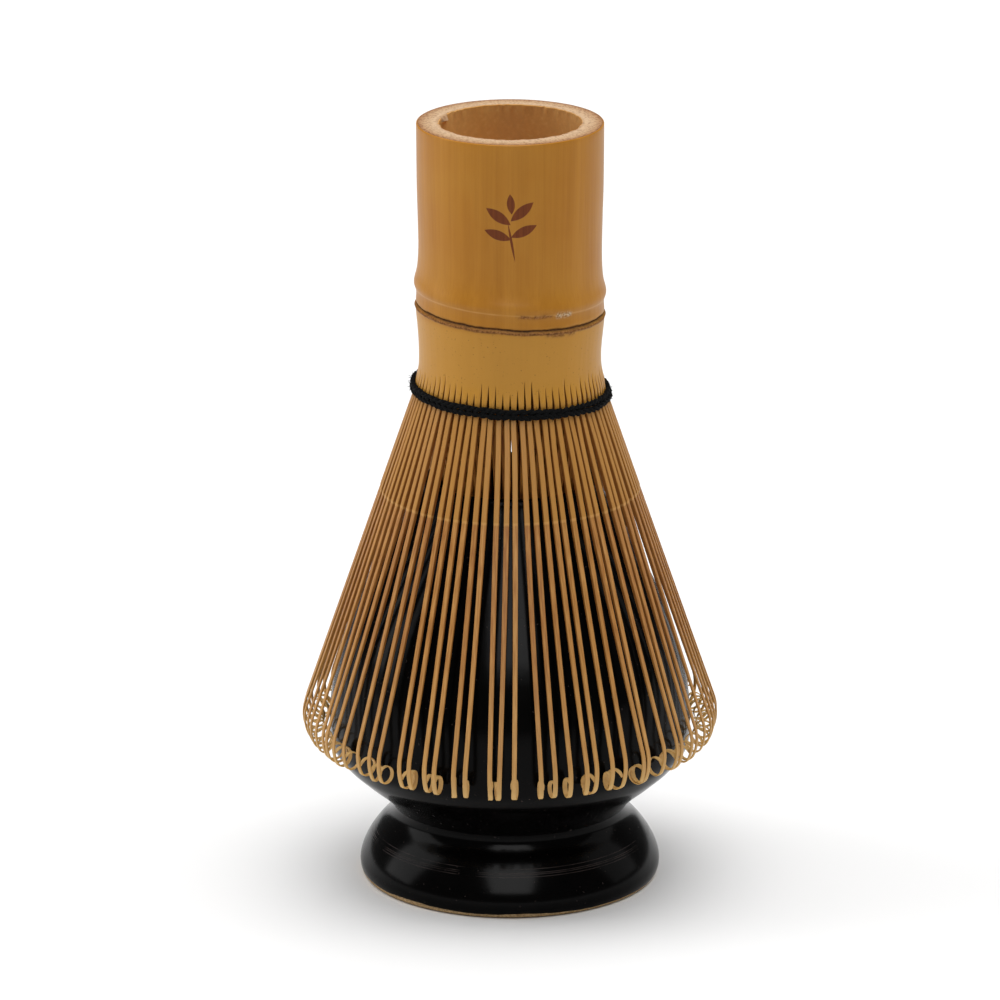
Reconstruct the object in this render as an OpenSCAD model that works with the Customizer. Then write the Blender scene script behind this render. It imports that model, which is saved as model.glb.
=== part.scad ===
// Bamboo tea whisk resting on its glazed ceramic holder.
// Millimetres, +Z up, origin on the table at the middle of the holder's foot.
// The whisk is one culm of bamboo: its lower end is split into tines, and a
// thread holds the outer tines apart from the inner ones.

/* [Holder] */
// Height of the holder, from the table to its rim
holder_h = 68.7; // [66:0.1:72]
// Outer radius of the rim
rim_r = 14.5; // [14:0.1:15.5]
// Radius of the mouth
mouth_r = 12.3; // [12.2:0.1:12.8]
// Largest outer radius of the belly
belly_r = 30.0; // [28:0.1:30.2]
// Height of the belly's widest band
belly_z = 26; // [24:0.1:28]
// Height where the underside of the belly starts to curve in
belly_low_z = 24.6; // [22:0.1:26]
// Outer radius of the waist above the foot
waist_r = 18.6; // [17:0.1:22]
// Height of the waist
waist_z = 11.5; // [9:0.1:13]
// Largest outer radius of the foot
foot_r = 25; // [23:0.1:27]
// Height of the foot's widest band
foot_z = 2.2; // [1.5:0.1:4]
// Thickness of the ceramic wall
holder_wall = 2.6; // [2:0.1:3.2]

/* [Handle] */
// Height of the handle's top end above the table
handle_top_z = 128.8; // [120:0.1:135]
// Outer radius of the culm at its top end
culm_r = 15.3; // [15:0.1:15.6]
// Radius of the hollow above the node
upper_bore_r = 11.6; // [10:0.1:12.5]
// Radius of the hollow below the node
lower_bore_r = 12.3; // [11.5:0.1:12.4]
// Height of the node, the ridge that runs round the culm
node_z = 101; // [99:0.1:103]
// Thickness of the wall of bamboo that closes the culm at the node
septum_t = 2.2; // [1.5:0.1:4]
// Least height of a slit above the thread
slit_low = 2.6; // [2:0.1:3.4]
// Greatest height of a slit above the thread
slit_high = 4.4; // [3.5:0.1:5]
// Width of a slit at the end of the culm
slit_w = 0.45; // [0.4:0.01:0.5]

/* [Tines] */
// Number of splits that the culm's end is first divided into
splits = 16; // [16]
// Outer tines cut from each split, and inner ones as well
tines_per_split = 5; // [5]
// Height of the tines' roots, just under the thread
root_z = 83; // [82:0.1:84]
// Radius of the outer tines' outer faces at the roots
outer_root_r = 15.9; // [15.6:0.1:16.2]
// Angle between a straight outer tine and the whisk's axis
outer_spread = 18.9; // [18.5:0.1:19.5]
// Width of an outer tine
outer_w = 0.85; // [0.6:0.05:0.9]
// Thickness of an outer tine at its root
outer_root_t = 0.65; // [0.5:0.05:0.8]
// Thickness of an outer tine at its curled tip
outer_tip_t = 0.32; // [0.2:0.02:0.4]
// Height where the bend towards the curl starts
bend_z = 30.2; // [29.5:0.1:31.5]
// Outer radius of the bend
bend_r = 6.5; // [5.5:0.1:7]
// How far the bend leans back towards the axis
bend_lean = 25; // [20:1:30]
// Outer radius of the curl at the tip
curl_r = 1.65; // [1.4:0.05:1.7]
// Turn of the curl
curl_turn = 310; // [270:5:320]
// Radius of the inner tines' outer faces at the roots
inner_root_r = 13.3; // [13.2:0.1:13.4]
// Angle between an inner tine and the whisk's axis
inner_lean = 8.5; // [7:0.5:8.5]
// Length of an inner tine
inner_len = 42; // [30:1:46]
// Width of an inner tine
inner_w = 0.38; // [0.3:0.02:0.4]
// Thickness of an inner tine at its root
inner_root_t = 0.9; // [0.6:0.05:1]
// Thickness of an inner tine at its tip
inner_tip_t = 0.4; // [0.3:0.05:0.5]

/* [Thread] */
// Radius of the doubled thread
thread_r = 0.5; // [0.4:0.02:0.55]
// Height of the thread's middle
thread_z = 84.3; // [84.2:0.05:84.5]

/* [Hidden] */

$fn = 64;
split_angle = 360 / splits;
pitch = split_angle / tines_per_split;
eps = 1; // how far a cutter runs past the face it cuts

// The holder's foot: its edge under the foot is bare clay
foot_edge_in = 1.1;
rim_lip_r = 1.1;
belly_top_z = belly_z;
arc_steps = 8;
// How full the foot's side is, and how soon it turns in towards the waist
foot_swell = 1.65;
foot_round = 0.86;
// How straight the belly's underside rises, and how it leaves the waist
under_rise = 1.2;
under_round = 1.1;

// The culm's end stands this far above the tines' roots
root_gap = 0.2;
culm_end_z = root_z + root_gap;
septum_top_z = node_z + septum_t / 2;
septum_low_z = node_z - septum_t / 2;

// The culm's end is parted into an outer and an inner ring of teeth
part_r = 13.85;
part_w = 0.8;
part_top_z = thread_z + 0.9;
thread_gap = 0.05;
teeth_r = 15.45;

// Two rounds of thread outside, one round inside, joined through the slits
round_pitch = thread_r * 1.8;
round_r = teeth_r + thread_gap + thread_r;
inner_round_r = part_w / 2 - 0.02;
pass_w = 0.26;
pass_h = 0.6;
thread_top_z = thread_z + round_pitch / 2 + thread_r;
slit_seed = 16;

// The outline of the culm's skin, as steps from its radius at the top end and
// from the height of the node: waist above the slits, scar of the sheath,
// ridge of the node, and the plain length above it
skin_steps = [
    [-0.33, -11.2], [-0.22, -8], [0.12, -4.8], [0.17, -3.4],
    [0.08, -2.2], [0.45, 0], [0.2, 1.3], [-0.18, 3.5], [-0.3, 7],
    [-0.18, 12], [-0.06, 18], [0, 27.5]];

// Where the straight part of an outer tine ends, and its bend and curl
bend_start_r = outer_root_r + (root_z - bend_z) * tan(outer_spread);
bend_centre = [bend_start_r, bend_z] - bend_r * [cos(outer_spread), sin(outer_spread)];
curl_centre = bend_centre + (bend_r - curl_r) * [cos(bend_lean), -sin(bend_lean)];

// A smooth curve through the points, by Catmull and Rom's rule
function between(a, b, c, d, t) = 0.5 * (2 * b + (c - a) * t
    + (2 * a - 5 * b + 4 * c - d) * t * t + (3 * b - a - 3 * c + d) * t * t * t);
function smooth(p, steps) = [
    for (i = [0 : len(p) - 2], k = [0 : steps - 1])
        between(p[max(i - 1, 0)], p[i], p[i + 1], p[min(i + 2, len(p) - 1)], k / steps),
    p[len(p) - 1]];

// The foot's side swells out from the waist, and the belly's underside rises
// from the waist in a nearly straight line that rounds over into the belly
function foot_side() = [
    for (k = [0 : arc_steps - 1]) let (t = k / arc_steps)
        [waist_r + (foot_r - waist_r) * pow(1 - pow(t, foot_swell), foot_round),
         foot_z + (waist_z - foot_z) * t]];
function belly_underside() = [
    for (k = [0 : arc_steps - 1]) let (t = k / arc_steps)
        [waist_r + (belly_r - waist_r) * pow(sin(90 * pow(t, under_rise)), under_round),
         waist_z + (belly_low_z - waist_z) * t]];

// The holder's outer outline, from the foot to just under the rim
function holder_outline(inset) = concat(
    [[foot_r - foot_edge_in - inset, 0], [foot_r - foot_edge_in / 4 - inset, foot_z / 3]],
    [for (p = foot_side()) [p[0] - inset, p[1]]],
    [for (p = belly_underside()) [p[0] - inset, p[1]]],
    [for (k = [0 : arc_steps]) let (t = k / arc_steps)
        [rim_r + (belly_r - rim_r) * cos(90 * t) - inset,
         belly_top_z + (holder_h - rim_lip_r - belly_top_z) * t]]);

module holder() {
    color([0.03, 0.03, 0.035])
    difference() {
        rotate_extrude() {
            difference() {
                polygon(concat([[0, 0]], holder_outline(0), [[0, holder_h - rim_lip_r]]));
                translate([0, -0.01])
                    polygon(concat([[0, 0]], holder_outline(holder_wall),
                        [[0, holder_h - rim_lip_r]]));
            }
            translate([(rim_r + mouth_r) / 2, holder_h - rim_lip_r])
                circle(r = (rim_r - mouth_r) / 2);
        }
        translate([0, 0, belly_z])
            cylinder(r = mouth_r, h = holder_h);
    }
}

// The hollow culm with its closed node. Its lower end is slit into teeth, and
// an annular slot parts the outer teeth from the inner ones.
module handle() {
    skin = smooth([for (s = skin_steps) [culm_r + s[0], node_z + s[1]]], 3);
    color([0.83, 0.66, 0.4])
    difference() {
        rotate_extrude()
            polygon(concat(
                [[0, culm_end_z], [teeth_r, culm_end_z], [teeth_r, part_top_z]],
                skin,
                [[culm_r, handle_top_z], [0, handle_top_z]]));
        translate([0, 0, septum_top_z])
            cylinder(r = upper_bore_r, h = handle_top_z);
        translate([0, 0, septum_low_z - handle_top_z])
            cylinder(r = lower_bore_r, h = handle_top_z);
        translate([0, 0, culm_end_z - eps])
            difference() {
                cylinder(r = part_r + part_w / 2, h = part_top_z - culm_end_z + eps);
                cylinder(r = part_r - part_w / 2, h = part_top_z - culm_end_z + eps);
            }
        slits();
    }
}

// V-shaped slits between the teeth, each of its own height
module slits() {
    count = splits * tines_per_split;
    heights = rands(slit_low, slit_high, count, slit_seed);
    for (i = [0 : count - 1]) {
        cut_h = thread_top_z + heights[i] - culm_end_z;
        half_w = slit_w / 2 * (cut_h + eps) / cut_h;
        rotate([90, 0, i * pitch + 90])
            translate([0, culm_end_z, lower_bore_r - eps])
                linear_extrude(culm_r - lower_bore_r + 2 * eps)
                    polygon([[-half_w, -eps], [half_w, -eps], [0, cut_h]]);
    }
}

module binding_thread() {
    color([0.06, 0.06, 0.06]) {
        for (side = [-1, 1])
            translate([0, 0, thread_z + side * round_pitch / 2])
                thread_round(round_r, thread_r);
        translate([0, 0, thread_z])
            thread_round(part_r, inner_round_r);
        for (i = [0 : splits - 1])
            rotate([0, 0, i * split_angle])
                translate([part_r, -pass_w / 2, thread_z - pass_h / 2])
                    cube([round_r - part_r, pass_w, pass_h]);
    }
}

// One round of thread
module thread_round(ring_r, r) {
    rotate_extrude()
        translate([ring_r, 0])
            circle(r = r, $fn = 24);
}

// A flat band that follows part of a circle
module arc_band(r, t, from, to) {
    pie_steps = ceil(abs(to - from) / 45);
    intersection() {
        difference() {
            circle(r = r);
            circle(r = r - t);
        }
        polygon(concat([[0, 0]], [for (k = [0 : pie_steps])
            let (a = from + (to - from) * k / pie_steps) 1.5 * r * [cos(a), sin(a)]]));
    }
}

// Side view of an outer tine: straight, bent back, and curled at its tip
module outer_tine_side() {
    polygon([
        [outer_root_r, root_z],
        [bend_start_r, bend_z],
        [bend_start_r, bend_z] - outer_tip_t * [cos(outer_spread), sin(outer_spread)],
        [outer_root_r - outer_root_t / cos(outer_spread), root_z]]);
    translate(bend_centre)
        arc_band(bend_r, outer_tip_t, outer_spread, -bend_lean);
    translate(curl_centre)
        arc_band(curl_r, outer_tip_t, -bend_lean, -bend_lean - curl_turn);
}

// Side view of an inner tine: a straight taper that leans towards the axis
module inner_tine_side() {
    along = [-sin(inner_lean), -cos(inner_lean)];
    across = [-cos(inner_lean), sin(inner_lean)];
    tip = [inner_root_r, root_z] + inner_len * along;
    polygon([
        [inner_root_r, root_z],
        tip,
        tip + inner_tip_t * across,
        [inner_root_r - inner_root_t / cos(inner_lean), root_z]]);
}

// The outer tines of one split
module outer_tines(split) {
    color([0.85, 0.64, 0.36])
    for (i = [0 : tines_per_split - 1])
        rotate([90, 0, (split - 1) * split_angle + (i + 0.5) * pitch])
            linear_extrude(outer_w, center = true) outer_tine_side();
}

// The inner tines of one split
module inner_tines(split) {
    color([0.62, 0.42, 0.2])
    for (i = [0 : tines_per_split - 1])
        rotate([90, 0, (split - 1) * split_angle + (i + 0.5) * pitch])
            linear_extrude(inner_w, center = true) inner_tine_side();
}

holder();
handle();
binding_thread();
outer_tines(1);  // outer_tines_01
outer_tines(2);  // outer_tines_02
outer_tines(3);  // outer_tines_03
outer_tines(4);  // outer_tines_04
outer_tines(5);  // outer_tines_05
outer_tines(6);  // outer_tines_06
outer_tines(7);  // outer_tines_07
outer_tines(8);  // outer_tines_08
outer_tines(9);  // outer_tines_09
outer_tines(10);  // outer_tines_10
outer_tines(11);  // outer_tines_11
outer_tines(12);  // outer_tines_12
outer_tines(13);  // outer_tines_13
outer_tines(14);  // outer_tines_14
outer_tines(15);  // outer_tines_15
outer_tines(16);  // outer_tines_16
inner_tines(1);  // inner_tines_01
inner_tines(2);  // inner_tines_02
inner_tines(3);  // inner_tines_03
inner_tines(4);  // inner_tines_04
inner_tines(5);  // inner_tines_05
inner_tines(6);  // inner_tines_06
inner_tines(7);  // inner_tines_07
inner_tines(8);  // inner_tines_08
inner_tines(9);  // inner_tines_09
inner_tines(10);  // inner_tines_10
inner_tines(11);  // inner_tines_11
inner_tines(12);  // inner_tines_12
inner_tines(13);  // inner_tines_13
inner_tines(14);  // inner_tines_14
inner_tines(15);  // inner_tines_15
inner_tines(16);  // inner_tines_16
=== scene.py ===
"""Bamboo tea whisk on its black glazed holder: the looks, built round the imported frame."""
import math
import random

import bpy
import numpy as np
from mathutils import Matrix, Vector, noise


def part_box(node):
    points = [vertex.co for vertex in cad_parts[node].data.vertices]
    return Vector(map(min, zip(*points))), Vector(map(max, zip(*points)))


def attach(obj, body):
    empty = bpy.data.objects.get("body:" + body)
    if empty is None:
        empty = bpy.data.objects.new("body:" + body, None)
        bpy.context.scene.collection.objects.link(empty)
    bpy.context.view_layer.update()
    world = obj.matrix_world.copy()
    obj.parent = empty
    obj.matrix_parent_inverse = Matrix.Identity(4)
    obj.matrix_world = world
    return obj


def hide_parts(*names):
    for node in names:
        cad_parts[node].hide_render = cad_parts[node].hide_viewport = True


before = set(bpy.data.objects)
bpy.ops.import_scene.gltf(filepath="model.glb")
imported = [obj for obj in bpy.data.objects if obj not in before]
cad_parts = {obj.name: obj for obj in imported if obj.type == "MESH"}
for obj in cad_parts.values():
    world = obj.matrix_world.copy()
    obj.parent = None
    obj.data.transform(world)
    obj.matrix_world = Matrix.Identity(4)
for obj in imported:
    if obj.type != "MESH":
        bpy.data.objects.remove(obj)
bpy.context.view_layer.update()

MM = 0.001

# ---------------------------------------------------------------- sizes, in millimetres
HOLDER_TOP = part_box("holder")[1].z / MM
HANDLE_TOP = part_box("handle")[1].z / MM
CULM_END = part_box("handle")[0].z / MM
THREAD_MID = (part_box("binding_thread")[0].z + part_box("binding_thread")[1].z) / 2 / MM

SPLITS = 16
TINES_PER_SPLIT = 5
TEETH = SPLITS * TINES_PER_SPLIT
PITCH = 2 * math.pi / TEETH

# Culm: its skin as (radius, height) from the teeth up, over the waist, the scar of the
# sheath and the ridge of the node, to the plain length above
SKIN_LINE = [(15.86, 83.2), (15.64, 84.3), (15.5, 85.4), (15.25, 86.5), (15.0, 88.0), (14.96, 90.0),
             (15.04, 92.0), (15.2, 94.0), (15.4, 96.0), (15.47, 97.3), (15.42, 98.4), (15.36, 99.4),
             (15.42, 100.1), (15.6, 100.6), (15.74, 101.2), (15.62, 102.0), (15.3, 103.2),
             (15.09, 105.0), (15.0, 108.0), (15.09, 113.0), (15.24, 119.0), (15.3, 128.8)]
CULM_R = 15.3
UPPER_BORE_R = 11.6
LOWER_BORE_R = 12.35
SEPTUM_TOP = 102.1
SEPTUM_LOW = 99.9
NODE_TILT = 0.85
TOOTH_COLUMNS = 6
SLIT_W = 0.54
TEETH_PART_OUT = 14.25
TEETH_PART_IN = 13.45
PART_ROWS = 8
SLIT_STEP = 0.25

# Marks round the node: heights, and how far the lip and a second, finer line lie under the scar
NODE_LOW_Z = 95.6
NODE_HIGH_Z = 102.6
NODE_ROW_STEP = 0.13
MARKS_LOW_Z = 96
MARKS_HIGH_Z = 102
SCAR_Z = 97.9
LIP_UNDER_SCAR = 0.48
LINE_UNDER_SCAR = 0.66
CREST_HIGHLIGHT_Z = 100.45
UPPER_CRUST_Z = 100.3
LOWER_CRUST_Z = 97.15
FLAKES_Z = 100.35

# Nub of pith left at the mouth of the upper hollow: its place and spread in degrees round
# from the X axis, how far it stands out and how far under the sawn end it is
NUB_AT = 160
NUB_SPREAD = 5
NUB_STANDS = 0.85
NUB_UNDER = 0.65

# Outer tines: the line of their outer faces, then the bend and the curl
OUTER_ROOT_Z = 83.0
OUTER_ROOT_R = 15.9
OUTER_SPREAD = math.radians(18.9)
OUTER_W = 0.86
OUTER_LOW_W = 0.76
OUTER_THICK = [(30.2, 0.28), (34.5, 0.34), (45.0, 0.5), (60.0, 0.66), (84.0, 0.78)]
OUTER_TIP_T = OUTER_THICK[0][1]
CURL_END_T = 0.15
BEND_Z = 30.2
BEND_R = 6.5
BEND_LEAN = math.radians(25)
CURL_R = 1.65
CURL_TURN = math.radians(310)
NOTCH_Z = 67.0
NOTCH_STEP = 0.07
ROOT_INSIDE = 0.9

# Inner tines
INNER_ROOT_R = 13.3
INNER_LEAN = math.radians(8.5)
INNER_LENGTH = 42.0
INNER_W = 0.68
INNER_TIP_W = 0.36
INNER_ROOT_T = 0.9
INNER_TIP_T = 0.4

# Thread: two rounds outside the teeth, tilted a little, and one inside
THREAD_R = 0.5
ROUND_R = 16.0
ROUND_PITCH = 0.84
THREAD_DROP = 0.4
THREAD_TILT = 0.63
INNER_ROUND_R = 13.85
INNER_THREAD_R = 0.36
THREAD_CLEAR = 0.42
THREAD_HALF_HEIGHT = 0.95
STEPS_PER_TOOTH = 7
INNER_STEPS = 160

# Holder: FOOT_SWELL and FOOT_ROUND shape its side from the foot up to the waist, UNDER_RISE and
# UNDER_ROUND the belly's underside; WAIST_EASED is how far the glaze rounds the waist
RIM_R = 14.5
MOUTH_R = 12.3
BELLY_R = 30.0
BELLY_Z = 26.0
BELLY_LOW_Z = 24.6
WAIST_R = 18.6
WAIST_Z = 11.5
FOOT_R = 25.0
FOOT_Z = 2.2
FOOT_SWELL = 1.65
FOOT_ROUND = 0.86
UNDER_RISE = 1.2
UNDER_ROUND = 1.1
HOLDER_WALL = 2.6
LIP_R = (RIM_R - MOUTH_R) / 2
WAIST_EASED = 3.2
HOLDER_AROUND = 256


# ---------------------------------------------------------------- small tools
def colour(hex_code):
    """An sRGB hex colour as linear RGBA."""
    parts = [int(hex_code[i:i + 2], 16) / 255 for i in (1, 3, 5)]
    linear = [p / 12.92 if p <= 0.04045 else ((p + 0.055) / 1.055) ** 2.4 for p in parts]
    return (*linear, 1.0)


def grey(value):
    """A grey as linear RGBA."""
    return (value, value, value, 1.0)


def add(tree, kind, settings=None, inputs=None, out=0):
    """Adds a node and gives one of its outputs. settings are its properties, or a colour
    ramp's stops as places and hex colours; inputs are values to set, or other nodes'
    outputs to link."""
    node = tree.nodes.new(kind)
    for name, value in (settings or {}).items():
        if name == "stops":
            elements = node.color_ramp.elements
            while len(elements) > 1:
                elements.remove(elements[-1])
            elements[0].position, elements[0].color = value[0][0], colour(value[0][1])
            for position, tint in value[1:]:
                elements.new(position).color = colour(tint)
        else:
            setattr(node, name, value)
    for key, value in (inputs or {}).items():
        if isinstance(value, bpy.types.NodeSocket):
            tree.links.new(value, node.inputs[key])
        else:
            node.inputs[key].default_value = value
    return node.outputs[out] if node.outputs else node


def new_material(name):
    """A material with an empty tree, and the tree."""
    material = bpy.data.materials.new(name)
    material.use_nodes = True
    material.node_tree.nodes.clear()
    return material, material.node_tree


def finish_material(tree, inputs):
    """Ends a material's tree in its shader and output."""
    shader = add(tree, "ShaderNodeBsdfPrincipled", None, inputs)
    add(tree, "ShaderNodeOutputMaterial", None, {"Surface": shader})


def mesh_object(name, vertices, faces, materials, slots=None, sharp=30):
    """A mesh object at the origin from points in millimetres, with one material index a face."""
    mesh = bpy.data.meshes.new(name)
    mesh.from_pydata([(x * MM, y * MM, z * MM) for x, y, z in vertices], [], faces)
    for material in materials:
        mesh.materials.append(material)
    if slots is not None:
        mesh.polygons.foreach_set("material_index", slots)
    mesh.polygons.foreach_set("use_smooth", [True] * len(mesh.polygons))
    mesh.set_sharp_from_angle(angle=math.radians(sharp))
    mesh.update()
    body = bpy.data.objects.new(name, mesh)
    bpy.context.scene.collection.objects.link(body)
    return body


def smooth_curve(points, steps):
    """Catmull and Rom's curve through points."""
    out = []
    last = len(points) - 1
    for i in range(last):
        a, b, c, d = (np.array(points[min(max(k, 0), last)], float)
                      for k in (i - 1, i, i + 1, i + 2))
        for t in np.arange(steps) / steps:
            out.append(0.5 * (2 * b + (c - a) * t + (2 * a - 5 * b + 4 * c - d) * t * t
                              + (3 * b - a - 3 * c + d) * t ** 3))
    out.append(np.array(points[last], float))
    return np.array(out)


def band(low_ring, high_ring):
    """Faces between two closed rings of vertex indices, facing out when low is below high."""
    count = len(low_ring)
    return [(low_ring[k], low_ring[(k + 1) % count], high_ring[(k + 1) % count], high_ring[k])
            for k in range(count)]


def hump(distance, width):
    """A smooth bump, 1 at the middle, falling away over about the width."""
    return math.exp(-(distance / width) ** 2)


def fade(value, low, high):
    """0 below low, 1 above high, and smooth between them."""
    t = min(max((value - low) / (high - low), 0.0), 1.0)
    return t * t * (3 - 2 * t)


def wander(*place):
    """Smooth noise from -1 to 1."""
    return noise.noise(Vector(place))


# ---------------------------------------------------------------- materials
def fibre_noise(tree, across_mm, stretch, detail=3.0):
    """Noise drawn out along Z, as bamboo's fibres run: across_mm is the width of a streak.
    Single fibres are too fine to show, so a streak is at least a bundle of them."""
    place = add(tree, "ShaderNodeTexCoord", out="Object")
    drawn = add(tree, "ShaderNodeMapping", None, {"Vector": place, "Scale": (1, 1, 1 / stretch)})
    return add(tree, "ShaderNodeTexNoise", None,
               {"Vector": drawn, "Scale": 1 / (across_mm * MM), "Detail": detail})


def sprig_mark(tree):
    """A sprig of pointed leaves on a stem, as a mask on the front of the culm. Each leaf is a
    lens: place of its middle and half its length and width in millimetres, and its turn."""
    leaves = [(0.2, 112.6, 3.4, 0.2, 80), (-1.9, 116.9, 2.4, 0.85, 35),
              (1.9, 117.7, 2.4, 0.85, -40), (-2.0, 113.8, 2.3, 0.8, 20),
              (2.2, 114.4, 2.3, 0.8, -25), (0.1, 119.0, 1.7, 0.65, -95)]
    place = add(tree, "ShaderNodeTexCoord", out="Object")
    mask = None
    for x, z, half_length, half_width, turn in leaves:
        own = add(tree, "ShaderNodeMapping", {"vector_type": "TEXTURE"},
                  {"Vector": place, "Location": (x * MM, 0, z * MM),
                   "Rotation": (0, math.radians(turn), 0),
                   "Scale": (half_length * MM, 1, half_width * MM)})
        parts = add(tree, "ShaderNodeSeparateXYZ", None, {"Vector": own}).node.outputs
        side = add(tree, "ShaderNodeMath", {"operation": "ABSOLUTE"}, {0: parts["Z"]})
        square = add(tree, "ShaderNodeMath", {"operation": "MULTIPLY_ADD"},
                     {0: parts["X"], 1: parts["X"], 2: side})
        leaf = add(tree, "ShaderNodeMapRange", None,
                   {"Value": square, "From Min": 1.04, "From Max": 0.94})
        mask = leaf if mask is None else add(tree, "ShaderNodeMath", {"operation": "MAXIMUM"},
                                             {0: mask, 1: leaf})
    across = add(tree, "ShaderNodeSeparateXYZ", None, {"Vector": place}).node.outputs
    front = add(tree, "ShaderNodeMath", {"operation": "LESS_THAN", "use_clamp": True},
                {0: across["Y"], 1: -10 * MM})
    return add(tree, "ShaderNodeMath", {"operation": "MULTIPLY"}, {0: mask, 1: front})


def bamboo_skin():
    """Bamboo skin, dried and oiled: hard and satin, honey-coloured, with fine lengthwise
    fibres and soft streaks, dark specks below the node, and a sprig burnt in with a hot iron.
    The marks colour holds the scar of the sheath, darkened with painted shade in its groove and in
    a fine line under its lip, the pale line over it, which is a painted highlight on the node's
    ridge, and crusts of dry sap."""
    material, tree = new_material("bamboo_skin_oiled")
    place = add(tree, "ShaderNodeTexCoord", out="Object")
    fibres = fibre_noise(tree, 0.35, 60)
    streaks = fibre_noise(tree, 2.4, 30, 2.0)
    patches, grains, crumbs = (
        add(tree, "ShaderNodeTexNoise", None,
            {"Vector": place, "Scale": 1 / (across * MM), "Detail": detail})
        for across, detail in ((9, 2.0), (0.3, 0.0), (0.35, 3.0)))
    height = add(tree, "ShaderNodeSeparateXYZ", None, {"Vector": place}).node.outputs["Z"]
    stored = add(tree, "ShaderNodeAttribute", {"attribute_name": "marks"}, out="Color")
    marks = add(tree, "ShaderNodeSeparateColor", None, {"Color": stored}).node.outputs
    dried = stored.node.outputs["Alpha"]
    mark = sprig_mark(tree)
    veil = add(tree, "ShaderNodeMapRange", None,
               {"Value": patches, "From Min": 0.35, "From Max": 0.7, "To Max": 0.35})
    fine = add(tree, "ShaderNodeMapRange", None,
               {"Value": fibres, "From Min": 0.55, "From Max": 0.3, "To Max": 0.14})
    covered = add(tree, "ShaderNodeMapRange", None,
                  {"Value": height, "From Min": 98.2 * MM, "From Max": 96.8 * MM, "To Max": 0.75})
    speck = add(tree, "ShaderNodeMapRange", None,
                {"Value": grains, "From Min": 0.77, "From Max": 0.81, "To Max": 0.6})
    speck = add(tree, "ShaderNodeMath", {"operation": "MULTIPLY"}, {0: speck, 1: covered})
    # the near-black scar ramp paints shade in the scar's groove and under the lip, over the scar's
    # own dark
    wash, crust, flakes, scar_and_shade, scorch = (
        add(tree, "ShaderNodeValToRGB", {"stops": stops}, {"Fac": pattern})
        for pattern, stops in (
            (streaks, [(0.3, "#a96e1d"), (0.52, "#af7422"), (0.75, "#b67b28")]),
            (crumbs, [(0.35, "#4b2a12"), (0.5, "#7c4d26"), (0.66, "#9a6d40")]),
            (crumbs, [(0.36, "#6d4c2e"), (0.5, "#b39a78"), (0.62, "#d8c8ae")]),
            (crumbs, [(0.35, "#1f120a"), (0.65, "#55341b")]),
            (fibres, [(0.3, "#612a06"), (0.7, "#7b3c0d")])))
    skin = wash
    # the green of the marks paints a highlight on the node's ridge
    for mask, tint in ((veil, colour("#b9832f")), (fine, colour("#8a5216")),
                       (covered, colour("#be8a36")), (speck, colour("#5b3d1c")),
                       (marks["Blue"], crust), (dried, flakes),
                       (marks["Green"], colour("#cf9f5c")), (marks["Red"], scar_and_shade),
                       (mark, scorch)):
        skin = add(tree, "ShaderNodeMix", {"data_type": "RGBA"},
                   {0: mask, 6: skin, 7: tint}, out=2)
    dull = add(tree, "ShaderNodeMath", {"operation": "MAXIMUM"},
               {0: marks["Red"], 1: marks["Blue"]})
    rough = add(tree, "ShaderNodeMapRange", None, {"Value": dull, "To Min": 0.4, "To Max": 0.85})
    relief = add(tree, "ShaderNodeBump", None,
                 {"Height": fibres, "Strength": 0.3, "Distance": 0.03 * MM})
    sunk = add(tree, "ShaderNodeBump", {"invert": True},
               {"Height": mark, "Strength": 0.6, "Distance": 0.05 * MM, "Normal": relief})
    crumbled = add(tree, "ShaderNodeBump", None,
                   {"Height": crumbs, "Strength": marks["Blue"], "Distance": 0.12 * MM,
                    "Normal": sunk})
    finish_material(tree, {"Base Color": skin, "Roughness": rough, "Specular IOR Level": 0.19,
                           "Normal": crumbled})
    return material


def bamboo_end_grain():
    """Sawn end of the culm: pale pith with the dots of the fibre bundles, small and close
    near the skin, larger and fewer towards the hollow, and a thin brown edge of skin."""
    material, tree = new_material("bamboo_end_grain")
    place = add(tree, "ShaderNodeTexCoord", out="Object")
    flat = add(tree, "ShaderNodeVectorMath", {"operation": "MULTIPLY"}, {0: place, 1: (1, 1, 0)})
    radius = add(tree, "ShaderNodeVectorMath", {"operation": "LENGTH"}, {0: flat}, out="Value")
    depth = add(tree, "ShaderNodeMapRange", None,
                {"Value": radius, "From Min": UPPER_BORE_R * MM, "From Max": CULM_R * MM})
    bundle, fine_bundle = (
        add(tree, "ShaderNodeTexVoronoi", None, {"Vector": flat, "Scale": 1 / (across * MM)})
        for across in (0.62, 0.42))
    few = add(tree, "ShaderNodeMapRange", None,
              {"Value": bundle, "From Min": 0.36, "From Max": 0.28, "To Max": 0.5})
    many = add(tree, "ShaderNodeMapRange", None,
               {"Value": fine_bundle, "From Min": 0.48, "From Max": 0.38, "To Max": 0.8})
    dots = add(tree, "ShaderNodeMix", None, {0: depth, 2: few, 3: many})
    cells = add(tree, "ShaderNodeTexNoise", None,
                {"Vector": place, "Scale": 1 / (0.5 * MM), "Detail": 4.0})
    pores = add(tree, "ShaderNodeMapRange", None,
                {"Value": cells, "From Min": 0.35, "From Max": 0.65, "To Max": 0.3})
    grain = add(tree, "ShaderNodeValToRGB",
                {"stops": [(0.0, "#ad8a66"), (0.2, "#c4a888"), (0.6, "#b89875"),
                           (0.85, "#9d7551"), (0.96, "#68401e")]}, {"Fac": depth})
    for mask, tint in ((pores, colour("#ad8257")), (dots, colour("#6b3f1d"))):
        grain = add(tree, "ShaderNodeMix", {"data_type": "RGBA"},
                    {0: mask, 6: grain, 7: tint}, out=2)
    relief = add(tree, "ShaderNodeBump", None,
                 {"Height": cells, "Strength": 0.5, "Distance": 0.05 * MM})
    finish_material(tree, {"Base Color": grain, "Roughness": 0.75, "Normal": relief})
    return material


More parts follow.
